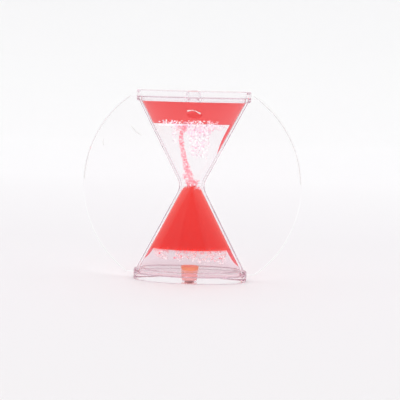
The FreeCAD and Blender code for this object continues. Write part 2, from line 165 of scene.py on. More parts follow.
# The stream of drops: its line from the drip insert up to the red layer.
STREAM_FOOT = Vector((-1.3 * MM, 0, INSERT_TOP))
STREAM_HEAD = Vector((-4.6 * MM, 0, UPPER_LEVEL))
STREAM_RADIUS = 1.2 * MM
STREAM_FOOT_RADIUS = 2.7 * MM
STREAM_STEPS = 10  # drop steps in the stream: the joint moves it by one of them
STREAM_FLARE = 0.45  # share of the rise over which the foot narrows
STREAM_WOBBLE = 0.12 * MM
STREAM_WOBBLE_RADIANS = 31  # over the whole rise
STREAM_LEAN_START = 0.05
STREAM_LEAN_SPAN = 0.83
STREAM_SLACK = 0.04  # share of the rise past both ends that still counts as stream
STREAM_GAP = 0.15 * MM  # room between the stream and the froth
STREAM_DROPS = 900
STREAM_RADII = (0.12 * MM, 0.36 * MM)
STREAM_END_GAP = 0.35 * MM
STREAM_CROWD = 1.2  # an exponent: more drops near the foot
STREAM_SPREAD = 0.6  # an exponent: more drops near the skin
STREAM_FOOT_DROP = 0.3 * MM  # the largest drop at the very foot
STREAM_FOOT_GROWTH = 2  # how fast that limit grows with the height

# Drops in the drip insert, on the red tip's shoulder and round the stream's head.
NECK_DROPS = 260
NECK_RADII = (0.12 * MM, 0.36 * MM)
NECK_END_GAP = 0.15 * MM
SHOULDER_DROPS = 80
SHOULDER_RADII = (0.11 * MM, 0.3 * MM)
SHOULDER_START = 0.25 * MM
SHOULDER_DEPTH = 3.2 * MM
SHOULDER_CROWD = 1.5
SHOULDER_SPREAD = 0.16
SHOULDER_TURN = math.radians(70)
SHOULDER_LEFT_SHARE = 0.25
HEAD_DROPS = 240
HEAD_RADII = (0.13 * MM, 0.36 * MM)
HEAD_SPAN = 1.1  # in drop steps below the stream's end
HEAD_GAP = 0.1 * MM
HEAD_SPREAD = 0.6 * MM

# The froth under both red faces. The patches' lengths are in mm.
UPPER_PATCHES = (  # count, crowding, then left, right, depth, lean, smallest and largest radius
    (330, 0.6, (-2.7, 9.5, 4.5, 0.0, 0.16, 0.42)),
    (460, 0.7, (-2.8, 7.8, 14.0, 0.2, 0.16, 0.4)),
    (110, 0.6, (-8.8, -5.2, 8.0, 0.6, 0.14, 0.34)),
    (90, 0.6, (6.5, 13.0, 2.2, 0.0, 0.15, 0.36)),
)
LOWER_PATCHES = (  # left, right, count, depth
    (-14.8, -9.0, 120, 4.2),
    (-6.2, 3.8, 200, 4.2),
    (3.8, 14.2, 210, 5.2),
)
UPPER_HALF_DEPTH = 5.2 * MM
UPPER_FRONT_SHARE = 0.1  # the froth further forward than this share of that depth is the front piece
UPPER_NARROWING = 0.4
UPPER_START = 0.2 * MM
LOWER_HALF_DEPTH = 6.0 * MM
LOWER_CROWD = 1.4
LOWER_RADII = (0.15 * MM, 0.42 * MM)
LOWER_START = 0.05 * MM
RAGGED_DROPS = 420
RAGGED_RADII = (0.13 * MM, 0.4 * MM)
RAGGED_LEFT = -13.5 * MM
RAGGED_WIDTH = 24 * MM
RAGGED_CROWD = 0.8  # an exponent: more drops on the right
RAGGED_HEIGHT = 2.1 * MM
RAGGED_BELOW = 0.7 * MM
RAGGED_THIN = 1.8  # an exponent: fewer drops further up
RAGGED_BACK_SHARE = 0.25
RAGGED_REACH = 0.995

# What all drops share.
STREAM_SEED = 11
NECK_SEED = 12
UPPER_SEED = 13
LOWER_SEED = 14
GLINT_SEED = 15
HEAD_SEED = 16
DROP_WALL_GAP = 0.1 * MM
FINE_DROP = 0.3 * MM  # drops above this radius get the finer mesh

# The photograph's view.
CAMERA_DISTANCE = 0.5
CAMERA_HEIGHT = 0.087
CAMERA_YAW = math.radians(4.5)
CAMERA_ROLL = math.radians(1.35)
CAMERA_AIM = Vector((0.0035, 0, MIDDLE - 0.0057))
LENS = 110.1
SENSOR_WIDTH = 36

# Stage and light.
FLOOR_GAP = 0.03 * MM
SWEEP_FLAT = (-2.2, -0.6, 0.0, 0.5)  # places of the flat floor's rows, from the front
SWEEP_BACK = 1.6
SWEEP_BEND = 0.7
SWEEP_BEND_STEPS = 16
SWEEP_TOP = 2.4
SWEEP_HALF_WIDTH = 3.0
SWEEP_ROUGHNESS = 0.9
SWEEP_GLOSS = 0.1
SWEEP_SPAN = (-0.6, 1.4)  # where the shades below start and end
# Painted shade on the sweep: darker on the floor in front, brightest where the floor meets the bend, a little
# darker up the bend.
SWEEP_PAINTED_SHADE = (  # share of that span, from front to back, and colour
    (0.0, (0.813, 0.798, 0.805)),
    (0.21, (0.813, 0.795, 0.808)),
    (0.28, (0.838, 0.818, 0.838)),
    (0.36, (0.853, 0.833, 0.853)),
    (0.45, (0.905, 0.889, 0.905)),
    (0.54, (0.955, 0.944, 0.958)),
    (0.65, (0.975, 0.968, 0.98)),
    (0.74, (0.987, 0.981, 0.99)),
    (0.9, (0.96, 0.96, 0.965)),
    (1.0, (0.935, 0.935, 0.94)),
)
WORLD_STRENGTH = 1.045
WORLD_SPAN = (-0.6, 0.3)  # from behind the camera to in front of it
WORLD_LEVELS = (0.9, 1.0)
LAMP_SIZE = 0.9
LAMPS = (("key", (0.5, -0.8, 1.0), 2.0), ("fill", (-0.6, -0.7, 0.9), 1.6))
LIGHT_BOUNCES = 48  # enough for light to leave the nested clear pieces
DROP_BOUNCES = 12  # enough for light to leave a cloud of pale drops

# Finishes.
PLASTIC_IOR = 1.35
NESTED_PLASTIC_IOR = 1.04  # plastic in liquid
INSERT_IOR = 1.01
LIQUID_IOR = 1.06  # of the clear liquid against the wall round it
NESTED_IOR = 1.002  # of one liquid inside the other
BOND_IOR = 1.05
MARK_IOR = 1.2
DROP_IOR = 1.1
DROP_ROUGHNESS = 0.3
DROP_TRANSMISSION = 0.1
FLOW_SCALE = 90.0
FLOW_ROUGHNESS = 0.03
FLOW_BUMP = 0.02 * MM
FLOW_BUMP_STRENGTH = 0.4
WHITE = (1.0, 1.0, 1.0)
PLASTIC_ABSORPTION = (0.69, 0.12, 0.31)
PLASTIC_DENSITY = 6
CAP_DENSITY = 2
WEB_TINT = (0.998, 0.997, 0.998)
WEB_FADE = (WEB_HALF_PLATE + 0.05 * MM, WEB_HALF_PLATE + 0.25 * MM)  # where the web's tint ends
# Painted pink light: the plastic's colour is pinker low down, near the red liquid, in place of the red light
# that reaches it.
BODY_PAINTED_PINK = (  # height and colour
    (0.0, (0.95, 0.875, 0.9)),
    (5.0 * MM, (0.955, 0.885, 0.91)),
    (7.0 * MM, (0.98, 0.93, 0.955)),
    (20.0 * MM, (0.99, 0.96, 0.975)),
    (40.0 * MM, (0.995, 0.985, 0.99)),
    (HEIGHT, (0.995, 0.985, 0.99)),
)
# Painted pink light for the caps, plugs and insert, pinker low down.
CAP_PAINTED_PINK = (
    (0.0, (0.99, 0.97, 0.98)),
    (6.0 * MM, (0.99, 0.96, 0.975)),
    (20.0 * MM, (0.995, 0.985, 0.99)),
    (HEIGHT, (0.995, 0.99, 0.995)),
)
# Painted light: the plug is paler below the cap's seam, where the cap's refraction lightens it, and orange
# above.
PLUG_PAINTED_PALE = (0.95, 0.5, 0.48)
PLUG_ORANGE = (1.0, 0.38, 0.19)
PLUG_TONE_SEAM = 3.0 * MM
PLUG_TONE_BLEND = 0.7 * MM
PLUG_PAINTED_TONES = (
    (0.0, PLUG_PAINTED_PALE),
    (PLUG_TONE_SEAM - PLUG_TONE_BLEND, PLUG_PAINTED_PALE),
    (PLUG_TONE_SEAM + PLUG_TONE_BLEND, PLUG_ORANGE),
)
PLUG_ROUGHNESS = 0.5
GRAIN_SCALE = 1500.0
GRAIN_DETAIL = 4.0
GRAIN_SHARE = 0.1
GRAIN_BUMP = 0.03 * MM
GRAIN_BUMP_STRENGTH = 0.5
# Painted light and shade in the red cone's skin colour: a dark middle and lighter bands to the sides,
# standing in for how the cone's depth and refraction darken and lighten it.
RED_PAINTED_SHADE_BANDS = (  # sideways slope from the waist, and skin colour
    (-0.62, (1.0, 0.29, 0.25)),
    (-0.5, (1.0, 0.26, 0.21)),
    (-0.46, (1.0, 0.17, 0.13)),
    (-0.2, (1.0, 0.18, 0.14)),
    (-0.17, (1.0, 0.11, 0.07)),
    (0.25, (1.0, 0.11, 0.07)),
    (0.29, (1.0, 0.21, 0.17)),
    (0.5, (1.0, 0.27, 0.23)),
)
# Colours of drops: each colour holds from its share of the drops to the next one's.
GLINT_SHADES = ((0.0, (1.0, 0.97, 0.93)), (0.5, (1.0, 1.0, 0.97)))
STREAM_SHADES = (
    (0.0, (1.0, 0.5, 0.58)),
    (0.35, (1.0, 0.97, 0.98)),
    (0.5, (1.0, 0.3, 0.38)),
    (0.72, (1.0, 0.72, 0.78)),
    (0.88, WHITE),
)
UPPER_SHADES = (
    (0.0, WHITE),
    (0.5, (0.96, 0.76, 0.87)),
    (0.72, (0.7, 0.62, 0.68)),
    (0.84, (1.0, 0.55, 0.66)),
    (0.9, WHITE),
)
BACK_SHADES = ((0.0, (0.98, 0.87, 0.94)), (0.4, (1.0, 0.8, 0.88)), (0.6, (0.86, 0.78, 0.84)), (0.8, WHITE))
LOWER_SHADES = ((0.0, WHITE), (0.55, (1.0, 0.82, 0.88)), (0.76, (0.95, 0.35, 0.42)), (0.84, WHITE))

# Fineness of the meshes.
SEGMENTS = 192
PLUG_SEGMENTS = 96
ROUND_STEPS = 10
FACE_INSET = 1.25  # how far a flat face's outer ring lies in, in roundings of its rim
RING_STEP = 0.9 * MM
WAIST_STEP_SHARE = 0.35  # of that step, near the waist
LAST_STEP_SHARE = 0.3  # a shorter last step joins the one before
WEB_STEPS = 220
INSERT_STEPS = 8
DOME_STEPS = 40
STREAK_ROWS = 26
STREAK_COLUMNS = 24
TUBE_STEPS = 10
RIM_SHADE_STEPS = 40
SMOOTH_ANGLE = math.radians(32)
TUBE_SMOOTH_ANGLE = math.radians(60)


# Forms.


def half_size(height, mouth, inset):
    """Half width or half depth of the hourglass at a height, with the rounded waist."""
    start = WAIST_RADIUS - inset
    slope = (mouth - WAIST_RADIUS) / (MIDDLE - FLOOR)
    away = abs(height - MIDDLE)
    radius = WAIST_ROUND + inset
    lean = math.atan(slope)
    if away >= radius * math.sin(lean):
        return min(start + slope * away, mouth - inset)
    return start + radius / math.cos(lean) - math.sqrt(radius**2 - away**2)


def ring_at(height, inset):
    """One oval ring of the hourglass form: half width, half depth and height."""
    return half_size(height, FUNNEL_HALF_WIDTH, inset), half_size(height, FUNNEL_HALF_DEPTH, inset), height


def rings_between(low, high, inset):
    """Rings of the hourglass form from low to high, closer together near the waist."""
    heights = [low]
    while heights[-1] < high - RING_STEP * LAST_STEP_SHARE:
        near_waist = abs(heights[-1] - MIDDLE) < WAIST_ROUND
        step = RING_STEP * WAIST_STEP_SHARE if near_waist else RING_STEP
        heights.append(min(heights[-1] + step, high))
    heights[-1] = high
    return [ring_at(height, inset) for height in heights]


def rounded_edge(low, high, round_low, round_high):
    """Insets and heights along the edge of a plate whose two rims are rounded."""
    points = [(round_low * FACE_INSET, low)]
    for step in range(ROUND_STEPS + 1):
        turn = math.pi / 2 * step / ROUND_STEPS
        points.append((round_low * (1 - math.sin(turn)), low + round_low * (1 - math.cos(turn))))
    for step in range(ROUND_STEPS + 1):
        turn = math.pi / 2 * step / ROUND_STEPS
        points.append((round_high * (1 - math.cos(turn)), high - round_high * (1 - math.sin(turn))))
    points.append((round_high * FACE_INSET, high))
    return points


def join_loops(mesh, loops, ends=True):
    """Faces between each closed loop of points and the next, and over both ends."""
    count = len(loops[0])
    for lower, upper in zip(loops, loops[1:]):
        for number in range(count):
            after = (number + 1) % count
            mesh.faces.new((lower[number], lower[after], upper[after], upper[number]))
    if ends:
        mesh.faces.new(list(reversed(loops[0])))
        mesh.faces.new(loops[-1])


def finish_mesh(name, mesh):
    """Turns a bmesh into a linked object with normals that point outwards."""
    bmesh.ops.recalc_face_normals(mesh, faces=mesh.faces)
    data = bpy.data.meshes.new(name)
    mesh.to_mesh(data)
    mesh.free()
    piece = bpy.data.objects.new(name, data)
    bpy.context.scene.collection.objects.link(piece)
    return piece


def lathe(name, rings, segments=SEGMENTS):
    """A closed mesh through oval rings, from the lowest to the highest, finest where the oval turns most."""
    mesh = bmesh.new()
    loops = []
    for width, depth, height in rings:
        loop = []
        for number in range(segments):
            facing = 2 * math.pi * (number + 0.5) / segments
            turn = math.atan2(depth * math.sin(facing), width * math.cos(facing))
            loop.append(mesh.verts.new((width * math.cos(turn), depth * math.sin(turn), height)))
        loops.append(loop)
    join_loops(mesh, loops)
    return finish_mesh(name, mesh)


def smooth(piece, angle=SMOOTH_ANGLE):
    """Smooth shading, with edges sharper than an angle kept."""
    piece.data.shade_smooth()
    piece.data.set_sharp_from_angle(angle=angle)
    return piece


def combine(piece, tool, operation):
    """Applies an exact boolean to a piece and deletes the tool."""
    modifier = piece.modifiers.new("combine", "BOOLEAN")
    modifier.object = tool
    modifier.operation = operation
    modifier.solver = "EXACT"
    graph = bpy.context.evaluated_depsgraph_get()
    result = bpy.data.meshes.new_from_object(piece.evaluated_get(graph))
    piece.modifiers.clear()
    piece.data = result
    bpy.data.objects.remove(tool)
    return piece


def turned_over(piece):
    """Turns a piece made for the base over to the top."""
    piece.data.transform(Matrix.Translation((0, 0, HEIGHT)) @ Matrix.Rotation(math.pi, 4, "X"))
    return piece


def place(piece, material, body="timer", replaced=()):
    """Gives a piece its finish and body, and hides the nodes that it stands for."""
    piece.data.materials.clear()
    piece.data.materials.append(material)
    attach(piece, body)
    if replaced:
        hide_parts(*replaced)
    return piece


# Materials.


def new_material(name):
    """A new material with its Principled shader, its nodes and its links."""
    material = bpy.data.materials.new(name)
    material.use_nodes = True
    nodes = material.node_tree.nodes
    return material, nodes["Principled BSDF"], nodes, material.node_tree.links


def split_axes(nodes, links, space="Object"):
    """A point's coordinates, as three outputs."""
    places = nodes.new("ShaderNodeTexCoord")
    split = nodes.new("ShaderNodeSeparateXYZ")
    links.new(places.outputs[space], split.inputs["Vector"])
    return split.outputs


def add_noise(nodes, links, scale, detail=2.0):
    """A noise texture in object coordinates."""
    places = nodes.new("ShaderNodeTexCoord")
    noise = nodes.new("ShaderNodeTexNoise")
    noise.inputs["Scale"].default_value = scale
    noise.inputs["Detail"].default_value = detail
    links.new(places.outputs["Object"], noise.inputs["Vector"])
    return noise


def add_math(nodes, links, operation, *terms):
    """A calculation on terms, each of which is a number or another node's output."""
    node = nodes.new("ShaderNodeMath")
    node.operation = operation
    for socket, term in zip(node.inputs, terms):
        if isinstance(term, float):
            socket.default_value = term
        else:
            links.new(term, socket)
    return node.outputs["Value"]


def add_range(nodes, links, source, old, new=(0.0, 1.0)):
    """Maps an output from one range to another."""
    mapped = nodes.new("ShaderNodeMapRange")
    for socket, value in zip(("From Min", "From Max", "To Min", "To Max"), (*old, *new)):
        mapped.inputs[socket].default_value = value
    links.new(source, mapped.inputs["Value"])
    return mapped.outputs["Result"]


def add_ramp(nodes, links, source, stops, interpolation="LINEAR"):
    """A colour for each value from 0 to 1, from a list of value and colour."""
    ramp = nodes.new("ShaderNodeValToRGB")
    ramp.color_ramp.interpolation = interpolation
    elements = ramp.color_ramp.elements
    for element, (value, colour) in zip(elements, stops):
        element.position = value
        element.color = (*colour, 1)
    for value, colour in stops[2:]:
        elements.new(value).color = (*colour, 1)
    links.new(source, ramp.inputs["Fac"])
    return ramp.outputs["Color"]


def add_height_ramp(nodes, links, stops):
    """A colour that changes with the height above the base, from a list of height and colour."""
    share = add_range(nodes, links, split_axes(nodes, links)["Z"], (0.0, HEIGHT))
    return add_ramp(nodes, links, share, [(height / HEIGHT, colour) for height, colour in stops])


def add_bump(nodes, links, shader, source, distance, strength):
    """A bump from a texture's output."""
    bump = nodes.new("ShaderNodeBump")
    bump.inputs["Distance"].default_value = distance
    bump.inputs["Strength"].default_value = strength
    links.new(source, bump.inputs["Height"])
    links.new(bump.outputs["Normal"], shader.inputs["Normal"])


def add_absorption(nodes, links, colour, density):
    """Light that passes through the inside takes on a colour."""
    absorb = nodes.new("ShaderNodeVolumeAbsorption")
    absorb.inputs["Color"].default_value = (*colour, 1)
    absorb.inputs["Density"].default_value = density
    links.new(absorb.outputs["Volume"], nodes["Material Output"].inputs["Volume"])


def clear_plastic(name, ior, stops, density=0.0):
    """Polished clear plastic with faint mould flow, with painted pink light in its colour that is stronger
    near the red liquid, but not in the thin web.
    """
    material, shader, nodes, links = new_material(name)
    away = add_math(nodes, links, "ABSOLUTE", split_axes(nodes, links)["Y"])
    tint = nodes.new("ShaderNodeMix")
    tint.data_type = "RGBA"
    tint.inputs["A"].default_value = (*WEB_TINT, 1)
    links.new(add_range(nodes, links, away, WEB_FADE), tint.inputs["Factor"])
    # The height ramp paints pink light into the plastic's colour; the thin web keeps WEB_TINT.
    links.new(add_height_ramp(nodes, links, stops), tint.inputs["B"])
    links.new(tint.outputs["Result"], shader.inputs["Base Color"])
    shader.inputs["IOR"].default_value = ior
    shader.inputs["Transmission Weight"].default_value = 1
    flow = add_noise(nodes, links, FLOW_SCALE).outputs["Fac"]
    links.new(add_range(nodes, links, flow, (0.0, 1.0), (0.0, FLOW_ROUGHNESS)), shader.inputs["Roughness"])
    add_bump(nodes, links, shader, flow, FLOW_BUMP, FLOW_BUMP_STRENGTH)
    if density:
        add_absorption(nodes, links, PLASTIC_ABSORPTION, density)
    return material


def liquid(name, ior=LIQUID_IOR, colour=WHITE, density=0, tint=WHITE, cloud=0.0):
    """A liquid that absorbs light on its way through; a cloudy one also scatters some at its skin."""
    material, shader, nodes, links = new_material(name)
    shader.inputs["Base Color"].default_value = (*tint, 1)
    shader.inputs["Roughness"].default_value = 0
    shader.inputs["IOR"].default_value = ior
    shader.inputs["Transmission Weight"].default_value = 1 - cloud
    if density:
        add_absorption(nodes, links, colour, density)
    return material


def add_painted_shade_bands(material, bands):
    """Painted light and shade: soft darker and lighter bands that fan out from the waist, from a list of
    sideways slope and skin colour.
    """
    nodes, links = material.node_tree.nodes, material.node_tree.links
    axes = split_axes(nodes, links)
    slope = add_math(nodes, links, "DIVIDE", axes["X"], add_math(nodes, links, "SUBTRACT", MIDDLE, axes["Z"]))
    share = add_range(nodes, links, slope, (-1.0, 1.0))
    colour = add_ramp(nodes, links, share, [((slope + 1) / 2, colour) for slope, colour in bands])
    links.new(colour, nodes["Principled BSDF"].inputs["Base Color"])


def bubble_skin(name, shades, lift=0.0):
    """Small drops whose colour differs from drop to drop; lift is a painted glow: they give off light of
    their own in their own colour, brighter than the light round them makes them.
    """
    material, shader, nodes, links = new_material(name)
    geometry = nodes.new("ShaderNodeNewGeometry")
    colour = add_ramp(nodes, links, geometry.outputs["Random Per Island"], shades, "CONSTANT")
    links.new(colour, shader.inputs["Base Color"])
    # Painted glow: the drops give off light in their own colour, as strong as lift.
    links.new(colour, shader.inputs["Emission Color"])
    shader.inputs["Emission Strength"].default_value = lift
    shader.inputs["Roughness"].default_value = DROP_ROUGHNESS
    shader.inputs["IOR"].default_value = DROP_IOR
    shader.inputs["Transmission Weight"].default_value = DROP_TRANSMISSION
    return material


def plug_rubber():
    """Orange rubber, satin, with a fine grain, and painted paler below the seam of the cap, where the cap's
    refraction lightens it.
    """
    material, shader, nodes, links = new_material("orange_rubber")
    grain = add_noise(nodes, links, GRAIN_SCALE, GRAIN_DETAIL)
    mix = nodes.new("ShaderNodeMix")
    mix.data_type = "RGBA"
    mix.blend_type = "MULTIPLY"
    mix.inputs["Factor"].default_value = GRAIN_SHARE
    links.new(add_height_ramp(nodes, links, PLUG_PAINTED_TONES), mix.inputs["A"])
    links.new(grain.outputs["Color"], mix.inputs["B"])
    links.new(mix.outputs["Result"], shader.inputs["Base Color"])
    shader.inputs["Roughness"].default_value = PLUG_ROUGHNESS
    add_bump(nodes, links, shader, grain.outputs["Fac"], GRAIN_BUMP, GRAIN_BUMP_STRENGTH)
    return material


PLASTIC = clear_plastic("clear_plastic", PLASTIC_IOR, BODY_PAINTED_PINK, PLASTIC_DENSITY)
CAP_PLASTIC = clear_plastic("clear_plastic_caps", PLASTIC_IOR, CAP_PAINTED_PINK, CAP_DENSITY)
NESTED_PLASTIC = clear_plastic("clear_plastic_immersed", NESTED_PLASTIC_IOR, CAP_PAINTED_PINK)
INSERT_PLASTIC = clear_plastic("clear_plastic_insert", INSERT_IOR, CAP_PAINTED_PINK)
# BOND's grey-pink colour is partly the bond and partly painted shade in the seam.
BOND = liquid("clear_plastic_bond", BOND_IOR, tint=(0.80, 0.68, 0.74), cloud=0.45)
MARK = liquid("clear_plastic_mark", MARK_IOR, tint=(0.86, 0.84, 0.82), cloud=0.2)
CLEAR_UPPER = liquid("clear_liquid_upper", colour=(0.6, 0.4, 0.45), density=2.5)
CLEAR_LOWER = liquid("clear_liquid_lower", colour=(0.5, 0.36, 0.36), density=15)
RED_UPPER = liquid(
    "red_liquid_upper",
    NESTED_IOR,
    colour=(0.995, 0.08, 0.075),
    density=100,
    tint=(0.945, 0.26, 0.265),
    cloud=0.15,
)
RED_LOWER = liquid(
    "red_liquid_lower",
    NESTED_IOR,
    colour=(0.995, 0.05, 0.03),
    density=290,
    tint=(0.995, 0.17, 0.13),
    cloud=0.05,
)
# Painted shade: the red cone's skin colour is darker in the middle and lighter in bands to the sides.
add_painted_shade_bands(RED_LOWER, RED_PAINTED_SHADE_BANDS)
RED_DENSE = liquid(
    "red_liquid_dense",
    NESTED_IOR,
    colour=(0.995, 0.03, 0.02),
    density=900,
    tint=(0.97, 0.2, 0.2),
    cloud=0.1,
)
RED_STREAK = liquid(
    "red_liquid_streak",
    NESTED_IOR,
    colour=(0.97, 0.05, 0.08),
    density=250,
    tint=(0.95, 0.24, 0.27),
    cloud=0.15,
)
HAZE_NEAR = liquid("red_liquid_haze_near", NESTED_IOR, colour=(0.995, 0.3, 0.33), density=90)
HAZE_FAR = liquid("red_liquid_haze_far", NESTED_IOR, colour=(0.99, 0.3, 0.36), density=38)
ORANGE = plug_rubber()
# Painted highlight: GLINT's white drops stand in for a glint.
GLINT = bubble_skin("painted_glint", GLINT_SHADES)
# Painted glow: these skins give off light of their own (lift), so the stream and froth come out brighter than
# the light round them makes them.
STREAM_SKIN = bubble_skin("pink_drops", STREAM_SHADES, lift=0.05)
UPPER_SKIN = bubble_skin("froth_upper", UPPER_SHADES, lift=0.13)
BACK_SKIN = bubble_skin("froth_back", BACK_SHADES, lift=0.07)
LOWER_SKIN = bubble_skin("froth_lower", LOWER_SHADES, lift=0.1)


# The clear moulding, its caps, plugs and insert.


def web_plate(height_low):
    """The round web, with rounded rims, cut level above the cap plates."""
    radius = cad_high.x
    cut_height = MIDDLE - height_low
    end_turn = math.asin(cut_height / radius)
    outline = []
    for side in (0, math.pi):
        for step in range(WEB_STEPS + 1):
            outline.append(side - end_turn + 2 * end_turn * step / WEB_STEPS)
    mesh = bmesh.new()
    loops = []
    for inset, across in rounded_edge(-WEB_HALF_PLATE, WEB_HALF_PLATE, WEB_ROUND, WEB_ROUND):
        loop = []
        for turn in outline:
            level = max(-cut_height, min(cut_height, (radius - inset) * math.sin(turn)))
            reach = math.sqrt((radius - inset) ** 2 - level**2)
            side = 1 if math.cos(turn) > 0 else -1
            loop.append(mesh.verts.new((side * reach, across, MIDDLE + level)))
        loops.append(loop)
    join_loops(mesh, loops)
    return finish_mesh("web", mesh)


def gate_stub():
    """The stub of the moulding gate on the upper right of the web's rim."""
    mesh = bmesh.new()
    bmesh.ops.create_cube(mesh, size=1)
    size = Vector((GATE_BURY + GATE_REACH, 2 * (WEB_HALF_PLATE - WEB_ROUND), 2 * GATE_HALF_WIDTH))
    bmesh.ops.scale(mesh, vec=size, verts=mesh.verts)
    bmesh.ops.bevel(mesh, geom=mesh.edges, offset=GATE_ROUND, segments=GATE_ROUND_STEPS, affect="EDGES")
    middle = cad_high.x + (GATE_REACH - GATE_BURY) / 2 - GATE_REACH
    turn = Matrix.Rotation(-GATE_ANGLE, 4, "Y")
    move = Matrix.Translation((0, 0, MIDDLE)) @ turn @ Matrix.Translation((middle, 0, 0))
    bmesh.ops.transform(mesh, matrix=move, verts=mesh.verts)
    return finish_mesh("gate", mesh)


def plate(name, low, high, round_low, round_high, half_width=CAP_HALF_WIDTH, half_depth=CAP_HALF_DEPTH):
    """An oval plate with rounded rims."""
    edge = rounded_edge(low, high, round_low, round_high)
    return lathe(name, [(half_width - inset, half_depth - inset, height) for inset, height in edge])


def make_body():
    """The one-piece moulding: funnels, flanges, web and gate stub, less the cavity."""
    low = CAP_PLATE + SEAM_GAP / 2
    funnel_low = CAP_PLATE + SEAM_ROUND + SEAM_GAP
    body = lathe("hourglass", rings_between(funnel_low, HEIGHT - funnel_low, 0.0))
    combine(body, plate("flange", low, FLOOR, SEAM_ROUND, FLANGE_ROUND), "UNION")
    combine(body, plate("flange", CEILING, HEIGHT - low, FLANGE_ROUND, SEAM_ROUND), "UNION")
    combine(body, web_plate(low + SEAM_GAP), "UNION")
    combine(body, gate_stub(), "UNION")
    cavity = rings_between(CAP_PLATE - OVERRUN, HEIGHT - CAP_PLATE + OVERRUN, WALL)
    combine(body, lathe("cavity", cavity), "DIFFERENCE")
    place(smooth(body), PLASTIC, replaced=["hourglass_body"])


def plug_radius(height):
    """The radius of a tapered plug at a height."""
    taper = (PLUG_INNER_RADIUS - PLUG_OUTER_RADIUS) / (PLUG_HIGH - PLUG_LOW)
    return PLUG_OUTER_RADIUS + taper * (height - PLUG_LOW)


def tapered_hole(name, heights):
    """A tool in the form of a filler hole, a little narrower than its plug so that no air shows between."""
    rings = []
    for height in heights:
        radius = plug_radius(height) - FACE_BITE
        rings.append((radius, radius, height))
    return lathe(name, rings, PLUG_SEGMENTS)


def make_cap(name, node, top):
    """A cap: the rounded oval plate, its spigot and the tapered filler hole."""
    cap = plate(name, 0.0, CAP_PLATE - SEAM_GAP / 2, CAP_ROUND, SEAM_ROUND)
    inset = WALL + SPIGOT_GAP
    spigot = plate(
        "spigot",
        CAP_PLATE - SEAM_ROUND - OVERRUN / 2,
        FLOOR,
        SPIGOT_ROUND,
        SPIGOT_ROUND,
        FUNNEL_HALF_WIDTH - inset,
        FUNNEL_HALF_DEPTH - inset,
    )
    combine(cap, spigot, "UNION")
    combine(cap, tapered_hole("hole", (-OVERRUN, 0.0, CAP_PLATE, FLOOR + OVERRUN)), "DIFFERENCE")
    smooth(cap)
    if top:
        turned_over(cap)
    place(cap, CAP_PLASTIC, replaced=[node])


def make_bond(name, top):
    """The bond between a cap and its flange, which shows as a thin line round the rim; its grey-pink colour
    is partly the bond and partly painted shade in the seam.
    """
    mesh = bmesh.new()
    loops = []
    for inset, height in ((BOND_OUTER, -1), (BOND_OUTER, 1), (BOND_INNER, 1), (BOND_INNER, -1)):
        loop = []
        for number in range(SEGMENTS):
            turn = 2 * math.pi * number / SEGMENTS
            across = (CAP_HALF_WIDTH - inset) * math.cos(turn)
            along = (CAP_HALF_DEPTH - inset) * math.sin(turn)
            loop.append(mesh.verts.new((across, along, CAP_PLATE + height * BOND_HALF_THICKNESS)))
        loops.append(loop)
    join_loops(mesh, loops + loops[:1], ends=False)
    bond = smooth(finish_mesh(name, mesh))
    if top:
        turned_over(bond)
    place(bond, BOND)


def make_plug(name, length):
    """A tapered plug with softened ends."""
    rings = []
    for inset, height in rounded_edge(PLUG_LOW, PLUG_LOW + length, PLUG_EDGE, PLUG_INNER_EDGE):
        radius = plug_radius(height) - inset
        rings.append((radius, radius, height))
    return smooth(lathe(name, rings, PLUG_SEGMENTS))


def make_plugs():
    """The orange plug of the bottom cap and the short clear one of the top cap."""
    orange = make_plug("plug_bottom", PLUG_HIGH - PLUG_LOW)
    place(orange, ORANGE, replaced=["bottom_plug"])
    clear = turned_over(make_plug("plug_top", TOP_PLUG_LENGTH))
    place(clear, NESTED_PLASTIC, replaced=["top_plug"])


def make_insert():
    """The drip insert in the waist, with its funnel-shaped hole."""
    inset = WALL + INSERT_GAP
    heights = [MIDDLE + (INSERT_TOP - MIDDLE) * step / INSERT_STEPS for step in range(INSERT_STEPS + 1)]
    insert = lathe("insert", [ring_at(height, inset) for height in heights])
    hole = [
        (INSERT_BORE_RADIUS, INSERT_BORE_RADIUS, MIDDLE - OVERRUN),
        (INSERT_BORE_RADIUS, INSERT_BORE_RADIUS, MIDDLE + INSERT_LAND),
        (INSERT_MOUTH_RADIUS, INSERT_MOUTH_RADIUS, INSERT_TOP),
        (INSERT_MOUTH_RADIUS, INSERT_MOUTH_RADIUS, INSERT_TOP + OVERRUN),
    ]
    combine(insert, lathe("hole", hole), "DIFFERENCE")
    place(smooth(insert), INSERT_PLASTIC, replaced=["drip_insert"])


def rim_points(start, end):
    """Points along the web's rim, between two angles in degrees."""
    points = []
    for step in range(RIM_SHADE_STEPS + 1):
        turn = math.radians(start + (end - start) * step / RIM_SHADE_STEPS)
        points.append((RIM_SHADE_REACH * math.cos(turn), MIDDLE / MM + RIM_SHADE_REACH * math.sin(turn)))
    return points


def make_mark(name, points):
    """A fine raised line on the front of the web, through points in mm."""
    mesh = bmesh.new()
    loops = []
    last = len(points) - 1
    for number, (across, height) in enumerate(points):
        before = points[max(number - 1, 0)]
        after = points[min(number + 1, last)]
        run = Vector((after[0] - before[0], 0, after[1] - before[1])).normalized()
        beside = Vector((run.z, 0, -run.x))
        radius = MARK_RADIUS * (MARK_END_SHARE if number in (0, last) else 1.0)
        centre = Vector((across * MM, -WEB_HALF_PLATE, height * MM))
        loop = []
        for step in range(TUBE_STEPS):
            turn = 2 * math.pi * step / TUBE_STEPS
            outwards = Vector((0, radius * MARK_FLATNESS * math.sin(turn), 0))
            offset = beside * (radius * math.cos(turn)) + outwards
            loop.append(mesh.verts.new(centre + offset))
        loops.append(loop)
    join_loops(mesh, loops)
    place(smooth(finish_mesh(name, mesh), TUBE_SMOOTH_ANGLE), MARK)


# The liquids.


